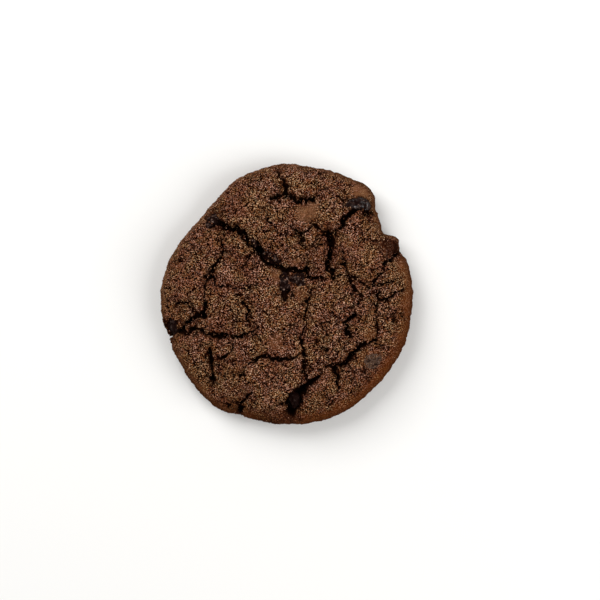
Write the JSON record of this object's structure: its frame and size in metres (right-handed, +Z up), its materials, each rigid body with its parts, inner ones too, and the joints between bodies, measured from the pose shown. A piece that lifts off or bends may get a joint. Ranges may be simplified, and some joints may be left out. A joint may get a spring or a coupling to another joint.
{
  "type": "chocolate cookie",
  "caption": "Round double chocolate cookie with a cracked, lumpy crust, rounded shoulder, flat base and dark chocolate chips set into the top.",
  "frame": {"origin": "middle of the flat base that the cookie rests on", "axes": "+Z up through the cookie's thickness; +Y towards the short crack by the edge at the picture's top; +X to the picture's right"},
  "size_m": [0.063, 0.065, 0.0147],
  "materials": {
    "crust": "matt, coarse grained dark brown baked dough, deeply cracked",
    "chocolate": "near-black melted and set chocolate, glossy with a slight grey bloom"
  },
  "bodies": {
    "root": {"cookie": "crust", "chip_rim": "chocolate", "chip_middle": "chocolate", "chip_middle_right": "chocolate", "chip_seam": "chocolate", "chip_seam_small": "chocolate", "chip_upper_left": "chocolate", "chip_lower_right": "chocolate", "chip_split": "chocolate", "chip_left_edge": "chocolate"}
  },
  "joints": []
}
